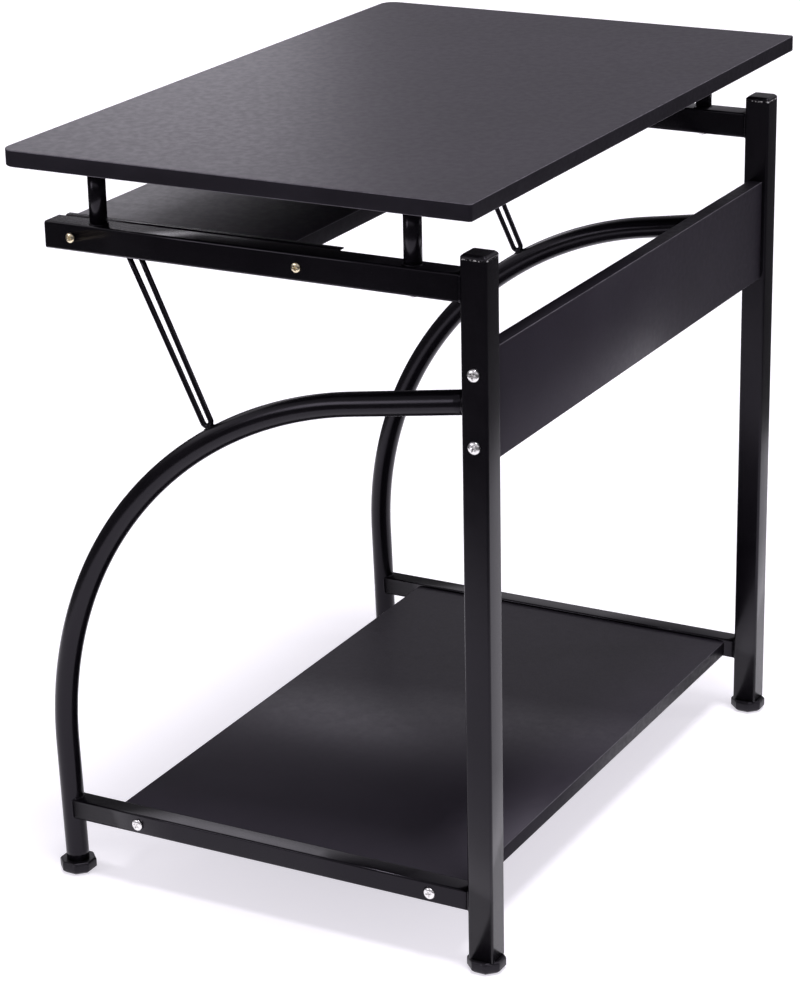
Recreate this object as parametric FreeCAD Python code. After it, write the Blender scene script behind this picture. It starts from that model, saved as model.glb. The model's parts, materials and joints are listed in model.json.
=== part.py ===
"""Computer desk with a pull-out keyboard tray.

Two welded steel side frames carry a raised top board, a lower shelf and a back panel.
A keyboard tray runs forward on two roller slides fixed inside the top rails.
Millimetres.  +Z up, -Y is the side the user sits at, X is the width.
The origin is on the floor in the middle of the desk, half way between front and rear feet.
"""
import FreeCAD, Part
import math
import os

os.makedirs("parts", exist_ok=True)

V = FreeCAD.Vector

# ---- overall sizes
desk_height = 720.0
desk_width = 716.0
desk_depth = 462.0
side_span = 652.0          # outer face of one side frame to outer face of the other
foot_span = 440.0          # front foot centre to rear post centre

# ---- boards
board = 15.0               # thickness of every board
edging = 1.0               # thickness of the band on the boards' edges
top_corner_r = 15.0        # rounded front corners of the top board
small_corner_r = 3.0       # corners of the other boards
top_rear_over = 3.0        # top board past the rear face of the posts

# ---- steel tubes
post_tube = 25.0           # square tube of posts and top rails
post_tube_r = 2.5          # its outer corner radius
lower_tube = 20.0          # square tube of the bottom rails
lower_tube_r = 2.0
leg_tube_d = 22.0          # round tube of the curved front legs
riser_d = 16.0             # round spacer tubes under the top board
wall = 1.2                 # wall of every tube

# ---- side frame heights and places
riser_height = 55.0        # top rail up to the top board
post_above_rail = 14.0     # post past the top rail
rail_length = 411.0        # top rail forward from the post
plug_head = 2.0            # plastic plug on the rail's front end
lower_rail_z = 58.0        # underside of the bottom rail
foot_height = 12.0
foot_flats = 33.0          # octagonal foot across its flats
foot_chamfer = 3.0
leg_join_drop = 90.0       # curved leg's axis at the post, below the top rail
leg_rise = 9.0             # degrees the leg still climbs where it meets the post
leg_lean = 1.7             # degrees the leg leans back down to its foot
leg_bend_by_span = 0.859   # bend radius as a share of the foot span, at most
leg_bend_by_drop = 0.7233  # and as a share of the leg's own height, at most
riser_front_y = 48.0       # front riser back from the front of the rail tube
riser_rear_y = 62.0        # rear riser forward from the post's axis

# ---- brace rod
rod_d = 5.0
rod_gap = 8.8              # between the axes of its two legs at the bend
rod_spread = 0.5           # degrees each leg leans away from the other
brace_at = 31.6            # degrees from the top of the leg's bend
brace_front = 83.6         # brace's top end back from the front of the rail tube
brace_sink = 1.0           # depth of the coped saddle in the rod

# ---- back panel
panel_height = 100.0
panel_drop = 43.0          # panel's top edge below the underside of the top rail
panel_bolt_pitch = 64.0
bolt_d = 6.0
bolt_head_d = 11.5
bolt_head_h = 4.0
bolt_clear = 0.2           # radial clearance of a bolt in a tube
nut_d = 10.0               # cross dowel
nut_length = 12.5
nut_from_end = 30.0

# ---- lower shelf
shelf_depth = 367.0
shelf_gap_rear = 12.0      # between the shelf's rear edge and the posts
shelf_below_rail = 3.0     # shelf's top below the rail's top
shelf_screw_front = 29.0   # from the shelf's front edge
shelf_screw_rear = 27.0    # from the shelf's rear edge
shelf_screw_d = 4.5
shelf_screw_head_d = 11.0
shelf_screw_head_h = 3.0
shelf_screw_in = 32.0      # length of screw inside the shelf

# ---- keyboard tray and its roller slides
tray_depth = 226.0
tray_set_back = 8.0        # tray's front edge behind the rail's front end
runner_set_back = 6.5      # slides back from the same front
tray_below_rail = 2.5      # tray's top below the rail's top
slide_space = 12.5         # between rail and tray, on each side
tray_travel = 210.0
sheet = 1.2                # sheet thickness of the runners
runner_length = 280.0
runner_above_rail = 0.5    # fixed runner's top flange above the rail
runner_headroom = 3.1      # over the tray runner's lip, inside the fixed runner
lip_gap = 0.5              # the lip above the top of the rear roller
runner_low_flange = 9.5
runner_top_flange = 7.0
runner_screw_front = 21.0  # from the runner's front end
runner_screw_pitch = 230.0
runner_screw_d = 4.0
runner_screw_head_d = 9.0
runner_screw_head_h = 2.6
roller_d = 18.0
roller_width = 7.6
roller_end_gap = 0.5       # roller to the sheet it is riveted to
roller_clear = 0.05        # roller to the flange it runs on
axle_d = 5.0
axle_clear = 0.05
axle_head_d = 7.5
axle_head_h = 0.6
axle_head_gap = 0.3
roller_front_y = 12.0      # front roller back from the runner's front end
roller_rear_y = 18.0       # rear roller forward from the fixed runner's rear end, tray closed
tray_flange = 19.5         # tray runner's flange under the tray
tray_lip = 8.6             # tray runner's lip over the front roller, from its own face
tray_runner_rear = 6.0     # tray runner's rear end forward from the fixed runner's
tray_screw_inset = 40.0
tray_screw_d = 3.5
tray_screw_head_d = 7.0
tray_screw_head_h = 2.0
stop_h = 3.5
stop_len = 1.6
stop_gap = 0.3

# ---- threaded inserts in the top board
insert_d = 9.0
insert_length = 12.0
thread_clear = 0.05        # bolt to the thread it sits in
plug_clear = 0.05          # plastic plug to the tube's inner wall
cap_height = 3.5
cap_chamfer = 2.2
plug_length = 16.0

# ---- derived places
y_post = foot_span / 2.0
y_foot = -foot_span / 2.0
y_post_front = y_post - post_tube / 2.0
y_post_rear = y_post + post_tube / 2.0
x_side = side_span / 2.0 - post_tube / 2.0      # middle plane of a side frame
z_top_under = desk_height - board
z_rail_top = z_top_under - riser_height
z_rail = z_rail_top - post_tube / 2.0
z_rail_under = z_rail_top - post_tube
z_post_top = z_rail_top + post_above_rail
y_rail_front = y_post_front - rail_length
y_plug_front = y_rail_front - plug_head
z_join = z_rail_under - leg_join_drop
z_low_top = lower_rail_z + lower_tube
y_risers = (y_rail_front + riser_front_y, y_post - riser_rear_y)
x_rail_in = x_side - post_tube / 2.0
x_low_in = x_side - lower_tube / 2.0
x_rail_out = x_side + post_tube / 2.0
x_low_out = x_side + lower_tube / 2.0


def rounded_square(size, radius, z0, length):
    """A square bar with rounded corners, standing on z0."""
    h = size / 2.0
    bar = Part.makeBox(size, size, length, V(-h, -h, z0))
    upright = [e for e in bar.Edges if abs(e.tangentAt(e.FirstParameter).z) > 0.99]
    return bar.makeFillet(radius, upright)


def square_tube(size, radius, length):
    """Square tube standing on the origin, with the tube's wall."""
    outer = rounded_square(size, radius, 0, length)
    inner = rounded_square(size - 2 * wall, radius - wall, -1, length + 2)
    return outer.cut(inner)


def lay_along_y(shape):
    """Turn a shape that stands on the origin so that its length runs along +Y."""
    s = shape.copy()
    s.rotate(V(0, 0, 0), V(1, 0, 0), -90)
    return s


def rod_x(d, x0, x1, y, z):
    """Round bar along X between two X values."""
    return Part.makeCylinder(d / 2.0, x1 - x0, V(x0, y, z), V(1, 0, 0))


def rod_z(d, z0, z1, x, y):
    """Round bar along Z between two heights."""
    return Part.makeCylinder(d / 2.0, z1 - z0, V(x, y, z0), V(0, 0, 1))


def mirror(shape):
    """The same piece on the other side of the desk."""
    return shape.mirror(V(0, 0, 0), V(1, 0, 0))


def both(shape):
    """A piece and its mirror image, as separate solids."""
    return Part.makeCompound([shape, mirror(shape)])


def save(name, shape):
    """Write one node; a compound of one solid is written as that solid."""
    solids = shape.Solids
    for s in solids:
        if not s.isValid() or s.Volume < 1.0:
            raise RuntimeError(name + " has a bad solid")
    out = solids[0] if len(solids) == 1 else Part.makeCompound(solids)
    out.exportStep("parts/" + name + ".step")


def swept(path_edges, radius):
    """A round bar along a path of tangent lines and arcs."""
    path = Part.Wire(path_edges)
    first = path_edges[0]
    start = first.valueAt(first.FirstParameter)
    along = first.tangentAt(first.FirstParameter)
    ring = Part.Wire([Part.makeCircle(radius, start, along)])
    return path.makePipeShell([ring], True, False)


def arc_edge(a, m, b):
    """Arc edge from a through m to b."""
    return Part.Arc(a, m, b).toShape()


def line_edge(a, b):
    """Straight edge from a to b."""
    return Part.LineSegment(a, b).toShape()


def button_screw(head_d, head_h, shank_d, shank, recess, cross):
    """Screw along -X, its head standing on the plane x = 0 and domed towards +X."""
    r = head_d / 2.0
    low = head_h * 0.35
    head = Part.makeCylinder(r, low, V(0, 0, 0), V(1, 0, 0))
    dome = Part.makeCone(r, r * 0.62, head_h - low, V(low, 0, 0), V(1, 0, 0))
    screw = head.fuse(dome).fuse(Part.makeCylinder(shank_d / 2.0, shank, V(-shank, 0, 0), V(1, 0, 0)))
    if cross:
        arm = recess / 2.0
        slot = recess * 0.24
        a = Part.makeBox(head_h, 2 * arm, slot, V(head_h * 0.45, -arm, -slot / 2.0))
        b = Part.makeBox(head_h, slot, 2 * arm, V(head_h * 0.45, -slot / 2.0, -arm))
        return screw.cut(a.fuse(b)).removeSplitter()
    corner = recess / math.sqrt(3.0)
    pts = []
    for i in range(7):
        a = math.radians(60.0 * i)
        pts.append(V(head_h * 0.4, corner * math.cos(a), corner * math.sin(a)))
    socket = Part.Face(Part.makePolygon(pts)).extrude(V(head_h, 0, 0))
    return screw.cut(socket).removeSplitter()


def place(shape, x, y, z):
    """A moved copy."""
    s = shape.copy()
    s.translate(V(x, y, z))
    return s


def plate(x0, x1, y0, y1, z0, z1, r_front, r_rear):
    """A board with its upright corners rounded."""
    box = Part.makeBox(x1 - x0, y1 - y0, z1 - z0, V(x0, y0, z0))
    fronts = []
    rears = []
    for e in box.Edges:
        if abs(e.tangentAt(e.FirstParameter).z) > 0.99:
            (fronts if e.CenterOfMass.y < (y0 + y1) / 2.0 else rears).append(e)
    if abs(r_front - r_rear) < 1e-6:
        return box.makeFillet(r_front, fronts + rears)
    box = box.makeFillet(r_front, fronts)
    rears = [e for e in box.Edges if abs(e.tangentAt(e.FirstParameter).z) > 0.99
             and abs(e.CenterOfMass.y - y1) < 1e-6]
    return box.makeFillet(r_rear, rears)


# ---- curved front leg: foot, short straight run, one long bend, straight run to the post
z_leg_foot = foot_height
bend_r = min(leg_bend_by_span * foot_span, leg_bend_by_drop * (z_join - z_leg_foot))
t1 = math.radians(90.0 + leg_lean)
t2 = math.radians(leg_rise)
n1 = (math.sin(t1), -math.cos(t1))
n2 = (math.sin(t2), -math.cos(t2))
d1 = (math.cos(t1), math.sin(t1))
d2 = (math.cos(t2), math.sin(t2))
rhs_y = (y_post_front - y_foot) - bend_r * (n1[0] - n2[0])
rhs_z = (z_join - z_leg_foot) - bend_r * (n1[1] - n2[1])
det = d1[0] * d2[1] - d2[0] * d1[1]
run_low = (rhs_y * d2[1] - d2[0] * rhs_z) / det
run_top = (d1[0] * rhs_z - d1[1] * rhs_y) / det
p_foot = (y_foot, z_leg_foot)
p_bend = (p_foot[0] + run_low * d1[0], p_foot[1] + run_low * d1[1])
centre = (p_bend[0] + bend_r * n1[0], p_bend[1] + bend_r * n1[1])
p_top = (centre[0] - bend_r * n2[0], centre[1] - bend_r * n2[1])
over = post_tube / 2.0
p_post = (p_top[0] + (run_top + over) * d2[0], p_top[1] + (run_top + over) * d2[1])


def on_bend(deg, radius):
    """Point of the side frame's plane, deg forward of straight above the bend's centre."""
    a = math.radians(deg)
    return (centre[0] - radius * math.sin(a), centre[1] + radius * math.cos(a))


def side_pt(yz):
    """A (y, z) pair in the side frame's middle plane."""
    return V(x_side, yz[0], yz[1])


mid_deg = (leg_rise + 90.0 + leg_lean) / 2.0
p_mid = on_bend(mid_deg, bend_r)
p_start = (p_foot[0] - 2.0 * d1[0], p_foot[1] - 2.0 * d1[1])
leg_path = [
    line_edge(side_pt(p_start), side_pt(p_bend)),
    arc_edge(side_pt(p_bend), side_pt(p_mid), side_pt(p_top)),
    line_edge(side_pt(p_top), side_pt(p_post)),
]
leg_solid = swept(leg_path, leg_tube_d / 2.0)
leg_bore = swept(leg_path, leg_tube_d / 2.0 - wall)
below = Part.makeBox(80, 80, 40, V(x_side - 40, y_foot - 40, foot_height - 40))
post_space = Part.makeBox(post_tube, post_tube, desk_height, V(x_side - post_tube / 2.0, y_post_front, 0))
leg_solid = leg_solid.cut(below).cut(post_space)
leg = leg_solid.cut(leg_bore)
print("leg bend radius", round(bend_r, 1), "runs", round(run_low, 1), round(run_top, 1))

# ---- post, with two bolt holes across it for the back panel
z_panel_top = z_rail_under - panel_drop
z_panel = z_panel_top - panel_height / 2.0
z_bolts = (z_panel - panel_bolt_pitch / 2.0, z_panel + panel_bolt_pitch / 2.0)
post = square_tube(post_tube, post_tube_r, z_post_top - foot_height)
post.translate(V(x_side, y_post, foot_height))
for z in z_bolts:
    post = post.cut(rod_x(bolt_d + 2 * bolt_clear, x_rail_in - 2, x_rail_out + 2, y_post, z))

# ---- top rail, with holes for the riser bolts and the runner screws
y_runner_front = y_plug_front + runner_set_back
y_runner_rear = y_runner_front + runner_length
y_runner_screws = (y_runner_front + runner_screw_front,
                   y_runner_front + runner_screw_front + runner_screw_pitch)
rail = lay_along_y(square_tube(post_tube, post_tube_r, rail_length))
rail.translate(V(x_side, y_rail_front, z_rail))
for y in y_risers:
    rail = rail.cut(rod_z(bolt_d + 2 * bolt_clear, z_rail_under - 2, z_rail_top + 2, x_side, y))
for y in y_runner_screws:
    rail = rail.cut(rod_x(runner_screw_d + 2 * bolt_clear, x_rail_in - 2, x_rail_out + 2, y, z_rail))

# ---- bottom rail, coped round the curved leg
z_low = lower_rail_z + lower_tube / 2.0
y_leg_at_low = y_foot + (z_low - foot_height) * d1[0] / d1[1]
low = lay_along_y(square_tube(lower_tube, lower_tube_r, y_post_front - y_leg_at_low))
low.translate(V(x_side, y_leg_at_low, z_low))
low = low.cut(leg_solid)
low = max(low.Solids, key=lambda s: s.Volume)
z_shelf_top = z_low_top - shelf_below_rail
z_shelf = z_shelf_top - board / 2.0
y_shelf_rear = y_post_front - shelf_gap_rear
y_shelf_front = y_shelf_rear - shelf_depth
y_shelf_screws = (y_shelf_front + shelf_screw_front, y_shelf_rear - shelf_screw_rear)
for y in y_shelf_screws:
    low = low.cut(rod_x(shelf_screw_d + 2 * bolt_clear, x_low_in - 2, x_low_out + 2, y, z_shelf))

# ---- risers: spacer tubes from the rail to the top board
risers = []
for y in y_risers:
    tube = rod_z(riser_d, z_rail_top, z_top_under, x_side, y)
    tube = tube.cut(rod_z(riser_d - 2 * wall, z_rail_top - 1, z_top_under + 1, x_side, y))
    risers.append(tube)

# ---- brace: one rod bent to a narrow U, its bend coped on the leg, its ends under the rail
saddle = on_bend(brace_at, bend_r + leg_tube_d / 2.0 + rod_d / 2.0 - brace_sink)
reach = (y_rail_front + brace_front - saddle[0], z_rail_under - saddle[1])
up = (reach[0] / math.hypot(*reach), reach[1] / math.hypot(*reach))
across = (up[1], -up[0])
u_centre = (saddle[0] + up[0] * rod_gap / 2.0, saddle[1] + up[1] * rod_gap / 2.0)


def brace_pt(along, side):
    """Point of the brace, measured from the centre of its bend."""
    return side_pt((u_centre[0] + up[0] * along + across[0] * side,
                    u_centre[1] + up[1] * along + across[1] * side))


brace_length = (z_rail_under - u_centre[1]) / up[1] + 2 * rod_gap
half = rod_gap / 2.0
leg_cos = math.cos(math.radians(rod_spread))
leg_sin = math.sin(math.radians(rod_spread))
bend_end = (-half * leg_sin, half * leg_cos)
tip = (bend_end[0] + brace_length * leg_cos, bend_end[1] + brace_length * leg_sin)
brace_path = [
    line_edge(brace_pt(tip[0], -tip[1]), brace_pt(bend_end[0], -bend_end[1])),
    arc_edge(brace_pt(bend_end[0], -bend_end[1]), brace_pt(-half, 0), brace_pt(*bend_end)),
    line_edge(brace_pt(*bend_end), brace_pt(*tip)),
]
brace = swept(brace_path, rod_d / 2.0)
rail_space = Part.makeBox(60, 600, 60, V(x_side - 30, saddle[0] - 300, z_rail_under))
brace = brace.cut(rail_space).cut(leg_solid)
brace = max(brace.Solids, key=lambda s: s.Volume)

# ---- plastic caps, plugs and feet
in_post = post_tube - 2 * wall - 2 * plug_clear
in_post_r = post_tube_r - wall
in_leg = leg_tube_d - 2 * wall - 2 * plug_clear


def square_plug(length):
    """Hollow plug for the square tube, hanging down from z = 0."""
    body = rounded_square(in_post, in_post_r, -length, length)
    core = Part.makeBox(in_post - 5, in_post - 5, length, V(-(in_post - 5) / 2.0, -(in_post - 5) / 2.0, -length - 2))
    return body.cut(core)


cap = rounded_square(post_tube, post_tube_r, 0, cap_height)
rim = [e for e in cap.Edges if abs(e.CenterOfMass.z - cap_height) < 1e-6]
cap = cap.makeChamfer(cap_chamfer, rim).fuse(square_plug(plug_length)).removeSplitter()
cap.translate(V(x_side, y_post, z_post_top))

plug = rounded_square(post_tube, post_tube_r, 0, plug_head)
rim = [e for e in plug.Edges if abs(e.CenterOfMass.z - plug_head) < 1e-6]
plug = plug.makeChamfer(0.8, rim).fuse(square_plug(plug_length)).removeSplitter()
plug.rotate(V(0, 0, 0), V(1, 0, 0), 90)
plug.translate(V(x_side, y_rail_front, z_rail))


def octagon(across_flats, z):
    """Octagon with flats facing the front and the sides."""
    corner = across_flats / 2.0 / math.cos(math.radians(22.5))
    pts = []
    for i in range(9):
        a = math.radians(22.5 + 45.0 * i)
        pts.append(V(corner * math.cos(a), corner * math.sin(a), z))
    return Part.makePolygon(pts)


def foot_base():
    """Octagonal glide with a chamfered lower edge and a slightly bevelled top."""
    low_ring = octagon(foot_flats - 2 * foot_chamfer, 0)
    mid_ring = octagon(foot_flats, foot_chamfer)
    up_ring = octagon(foot_flats, foot_height - 1.2)
    top_ring = octagon(foot_flats - 2.4, foot_height)
    base = Part.makeLoft([low_ring, mid_ring], True, True)
    body = Part.makeLoft([mid_ring, up_ring], True, True)
    top = Part.makeLoft([up_ring, top_ring], True, True)
    return base.fuse(body).fuse(top).removeSplitter()


foot_plug = square_plug(plug_length)
foot_plug.rotate(V(0, 0, 0), V(1, 0, 0), 180)
foot_plug.translate(V(0, 0, foot_height))
rear_foot = foot_base().fuse(foot_plug).removeSplitter()
rear_foot.translate(V(x_side, y_post, 0))
peg = Part.makeCylinder(in_leg / 2.0, plug_length, V(0, 0, 0), V(0, 0, 1))
peg = peg.cut(Part.makeCylinder(in_leg / 2.0 - 2.5, plug_length, V(0, 0, 2), V(0, 0, 1)))
peg.rotate(V(0, 0, 0), V(1, 0, 0), leg_lean)
peg.translate(V(0, 0, foot_height - 0.3))
front_foot = foot_base().fuse(peg).removeSplitter()
front_foot.translate(V(x_side, y_foot, 0))
front_foot = front_foot.cut(leg)
front_foot = max(front_foot.Solids, key=lambda s: s.Volume)

# ---- top board with edging and threaded inserts
y_top_rear = y_post_rear + top_rear_over
y_top_front = y_top_rear - desk_depth
half_w = desk_width / 2.0
top_full = plate(-half_w, half_w, y_top_front, y_top_rear, z_top_under, desk_height,
                 top_corner_r, small_corner_r)
top_core = plate(-half_w + edging, half_w - edging, y_top_front + edging, y_top_rear - edging,
                 z_top_under, desk_height, top_corner_r - edging, small_corner_r - edging)
top_band = top_full.cut(top_core)
insert_spots = []
for y in y_risers:
    insert_spots.append((x_side, y))
    insert_spots.append((-x_side, y))
inserts = []
for x, y in insert_spots:
    top_core = top_core.cut(rod_z(insert_d, z_top_under - 1, z_top_under + insert_length, x, y))
    sleeve = rod_z(insert_d, z_top_under, z_top_under + insert_length, x, y)
    inserts.append(sleeve.cut(rod_z(bolt_d + 2 * thread_clear, z_top_under - 1,
                                    z_top_under + insert_length + 1, x, y)))

# ---- long bolts from under the rail, up through rail and riser into the inserts
long_bolt = button_screw(bolt_head_d, bolt_head_h, bolt_d,
                         post_tube + riser_height + insert_length - 1.0, 4.0, False)
long_bolt.rotate(V(0, 0, 0), V(0, 1, 0), 90)
top_bolts = []
for x, y in insert_spots:
    top_bolts.append(place(long_bolt, x, y, z_rail_under))

# ---- back panel with edging, bolts and cross dowels
x_panel = x_rail_in
y_panel_front = y_post - board / 2.0
y_panel_rear = y_post + board / 2.0
z_panel_low = z_panel_top - panel_height
panel = Part.makeBox(2 * x_panel, board, panel_height - 2 * edging,
                     V(-x_panel, y_panel_front, z_panel_low + edging))
panel_band = Part.makeCompound([
    Part.makeBox(2 * x_panel, board, edging, V(-x_panel, y_panel_front, z_panel_low)),
    Part.makeBox(2 * x_panel, board, edging, V(-x_panel, y_panel_front, z_panel_top - edging)),
])
bolt_in = nut_from_end + nut_d / 2.0 + 2.0
panel_bolt = button_screw(bolt_head_d, bolt_head_h, bolt_d, post_tube + bolt_in, 6.0, True)
panel_bolts = []
nuts = []
for z in z_bolts:
    panel_bolts.append(place(panel_bolt, x_rail_out, y_post, z))
    x_nut = x_panel - nut_from_end
    hole = rod_x(bolt_d + 2 * bolt_clear, x_panel - bolt_in - 1.0, x_panel + 1.0, y_post, z)
    pocket = Part.makeCylinder(nut_d / 2.0, nut_length, V(x_nut, y_panel_front, z), V(0, 1, 0))
    panel = panel.cut(hole).cut(pocket).cut(mirror(hole)).cut(mirror(pocket))
    thread = rod_x(bolt_d + 2 * thread_clear, x_nut - nut_d, x_nut + nut_d, y_post, z)
    nuts.append(pocket.cut(thread))
panel_bolts = [both(b) for b in panel_bolts]
nuts = [both(n) for n in nuts]

# ---- lower shelf with edging and screws
shelf = Part.makeBox(2 * x_low_in, shelf_depth - 2 * edging, board,
                     V(-x_low_in, y_shelf_front + edging, z_shelf_top - board))
shelf_band = Part.makeCompound([
    Part.makeBox(2 * x_low_in, edging, board, V(-x_low_in, y_shelf_front, z_shelf_top - board)),
    Part.makeBox(2 * x_low_in, edging, board, V(-x_low_in, y_shelf_rear - edging, z_shelf_top - board)),
])
shelf_screw = button_screw(shelf_screw_head_d, shelf_screw_head_h, shelf_screw_d,
                           lower_tube + shelf_screw_in, 5.5, True)
shelf_screws = []
for y in y_shelf_screws:
    shelf_screws.append(both(place(shelf_screw, x_low_out, y, z_shelf)))
    pilot = rod_x(shelf_screw_d + 2 * thread_clear, x_low_in - shelf_screw_in - 1.0,
                  x_low_in + 1.0, y, z_shelf)
    shelf = shelf.cut(pilot).cut(mirror(pilot))

# ---- fixed runner: channel with its open side to the tray, front roller riveted on
z_run_top = z_rail_top + runner_above_rail
runner_height = 3 * sheet + roller_d + lip_gap + runner_headroom
z_run_low = z_run_top - runner_height
x_web = x_rail_in
x_web_face = x_web - sheet
z_track = z_run_low + sheet


def bar(x0, x1, y0, y1, z0, z1):
    """Rectangular bar between given coordinates."""
    return Part.makeBox(x1 - x0, y1 - y0, z1 - z0, V(x0, y0, z0))


x_tray = x_rail_in - slide_space
x_tray_web = x_tray + sheet
roller_r = roller_d / 2.0
z_rear_roller = z_track + roller_r + roller_clear
y_rear_roller = y_runner_rear - roller_rear_y
y_front_roller = y_runner_front + roller_front_y
z_tray_top = z_rail_top - tray_below_rail
z_tray_under = z_tray_top - board
z_lip = z_track + roller_d + lip_gap
z_front_roller = z_lip - roller_r - roller_clear
chord = math.sqrt(roller_r ** 2 - (roller_r + roller_clear - stop_h) ** 2)
y_stop_front = y_rear_roller - tray_travel - chord - stop_gap
y_stop_rear = y_rear_roller + chord + stop_gap

fixed = bar(x_web_face, x_web, y_runner_front, y_runner_rear, z_run_low, z_run_top)
fixed = fixed.fuse(bar(x_web - runner_low_flange, x_web, y_runner_front, y_runner_rear, z_run_low, z_track))
fixed = fixed.fuse(bar(x_web - runner_top_flange, x_web, y_runner_front, y_runner_rear,
                       z_run_top - sheet, z_run_top))
stop_x0 = x_web - runner_low_flange + 0.5
stop_x1 = x_web_face
fixed = fixed.fuse(bar(stop_x0, stop_x1, y_stop_front - stop_len, y_stop_front, z_track - 0.6, z_track + stop_h))
fixed = fixed.fuse(bar(stop_x0, stop_x1, y_stop_rear, y_stop_rear + stop_len, z_track - 0.6, z_track + stop_h))
fixed = fixed.removeSplitter()
for y in y_runner_screws:
    fixed = fixed.cut(rod_x(runner_screw_d + 2 * thread_clear, x_web_face - 1, x_web + 1, y, z_rail))

# front roller: its rivet stands on the channel's web
x_fr1 = x_web_face - roller_end_gap
x_fr0 = x_fr1 - roller_width
front_roller = rod_x(roller_d, x_fr0, x_fr1, y_front_roller, z_front_roller)
front_roller = front_roller.cut(rod_x(axle_d + 2 * axle_clear, x_fr0 - 1, x_fr1 + 1, y_front_roller, z_front_roller))
front_axle = rod_x(axle_d, x_fr0 - axle_head_gap, x_web_face, y_front_roller, z_front_roller)
front_axle = front_axle.fuse(rod_x(axle_head_d, x_fr0 - axle_head_gap - axle_head_h, x_fr0 - axle_head_gap,
                                   y_front_roller, z_front_roller)).removeSplitter()

# ---- runner screws, from outside through the rail into the channel
runner_screw = button_screw(runner_screw_head_d, runner_screw_head_h, runner_screw_d,
                            post_tube + sheet + 0.1, 4.4, True)
runner_screws = []
for y in y_runner_screws:
    runner_screws.append(both(place(runner_screw, x_rail_out, y, z_rail)))

# ---- keyboard tray with edging
y_tray_front = y_plug_front + tray_set_back
y_tray_rear = y_tray_front + tray_depth
tray = plate(-x_tray + edging, x_tray - edging, y_tray_front + edging, y_tray_rear - edging,
             z_tray_under, z_tray_top, small_corner_r - edging, small_corner_r - edging)
tray_full = plate(-x_tray, x_tray, y_tray_front, y_tray_rear, z_tray_under, z_tray_top,
                  small_corner_r, small_corner_r)
tray_band = tray_full.cut(tray)

# ---- tray runner: web on the tray's edge, flange under the tray, lip over the front roller
y_tr_front = y_tray_front + 3.0
y_tr_rear = y_runner_rear - tray_runner_rear
slider = bar(x_tray, x_tray_web, y_tr_front, y_tr_rear, z_tray_under - sheet, z_lip + sheet)
slider = slider.fuse(bar(x_tray - tray_flange, x_tray_web, y_tr_front, y_tr_rear, z_tray_under - sheet, z_tray_under))
slider = slider.fuse(bar(x_tray, x_tray + tray_lip, y_tr_front, y_tr_rear, z_lip, z_lip + sheet))
slider = slider.removeSplitter()
x_rr0 = x_tray_web + roller_end_gap
x_rr1 = x_rr0 + roller_width
rear_roller = rod_x(roller_d, x_rr0, x_rr1, y_rear_roller, z_rear_roller)
rear_roller = rear_roller.cut(rod_x(axle_d + 2 * axle_clear, x_rr0 - 1, x_rr1 + 1, y_rear_roller, z_rear_roller))
rear_axle = rod_x(axle_d, x_tray_web, x_rr1 + axle_head_gap, y_rear_roller, z_rear_roller)
rear_axle = rear_axle.fuse(rod_x(axle_head_d, x_rr1 + axle_head_gap, x_rr1 + axle_head_gap + axle_head_h,
                                 y_rear_roller, z_rear_roller)).removeSplitter()

# ---- screws up through the tray runners into the tray
tray_screw = button_screw(tray_screw_head_d, tray_screw_head_h, tray_screw_d, sheet + 11.0, 3.8, True)
tray_screw.rotate(V(0, 0, 0), V(0, 1, 0), 90)
x_tscrew = x_tray - tray_flange / 2.0
tray_screws = []
for y in (y_tray_front + tray_screw_inset, y_tray_rear - tray_screw_inset):
    tray_screws.append(both(place(tray_screw, x_tscrew, y, z_tray_under - sheet)))
    slider = slider.cut(rod_z(tray_screw_d + 2 * bolt_clear, z_tray_under - sheet - 1, z_tray_under, x_tscrew, y))
    pilot = rod_z(tray_screw_d + 2 * thread_clear, z_tray_under - 1, z_tray_under + 11.5, x_tscrew, y)
    tray = tray.cut(pilot).cut(mirror(pilot))

# ---- one file per node
for side, flip in (("right", False), ("left", True)):
    pieces = {
        "post_": post,
        "top_rail_": rail,
        "curved_leg_": leg,
        "bottom_rail_": low,
        "brace_": brace,
        "risers_": Part.makeCompound(risers),
        "fixed_runner_": fixed,
        "tray_runner_": slider,
    }
    for name, shape in pieces.items():
        save(name + side, mirror(shape) if flip else shape)
save("post_caps", both(cap))
save("rail_plugs", both(plug))
save("rear_feet", both(rear_foot))
save("front_feet", both(front_foot))
save("desktop", top_core)
save("desktop_edging", top_band)
save("desktop_inserts", Part.makeCompound(inserts))
save("desktop_bolts", Part.makeCompound(top_bolts))
save("back_panel", panel)
save("back_panel_edging", panel_band)
save("panel_bolts", Part.makeCompound(panel_bolts))
save("panel_dowels", Part.makeCompound(nuts))
save("shelf", shelf)
save("shelf_edging", shelf_band)
save("shelf_screws", Part.makeCompound(shelf_screws))
save("runner_screws", Part.makeCompound(runner_screws))
save("front_rollers", both(front_roller))
save("front_axles", both(front_axle))
save("keyboard_tray", tray)
save("tray_edging", tray_band)
save("rear_rollers", both(rear_roller))
save("rear_axles", both(rear_axle))
save("tray_screws", Part.makeCompound(tray_screws))
print("tray roller places", round(y_rear_roller, 2), round(z_rear_roller, 2),
      round(y_front_roller, 2), round(z_front_roller, 2))
print("levels", z_rail_top, z_rail_under, z_panel_low, z_panel_top, z_shelf_top, z_tray_top,
      "tray y", y_tray_front, y_tray_rear, "shelf y", y_shelf_front, y_shelf_rear, "risers", y_risers)
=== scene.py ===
import json
import math

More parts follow.
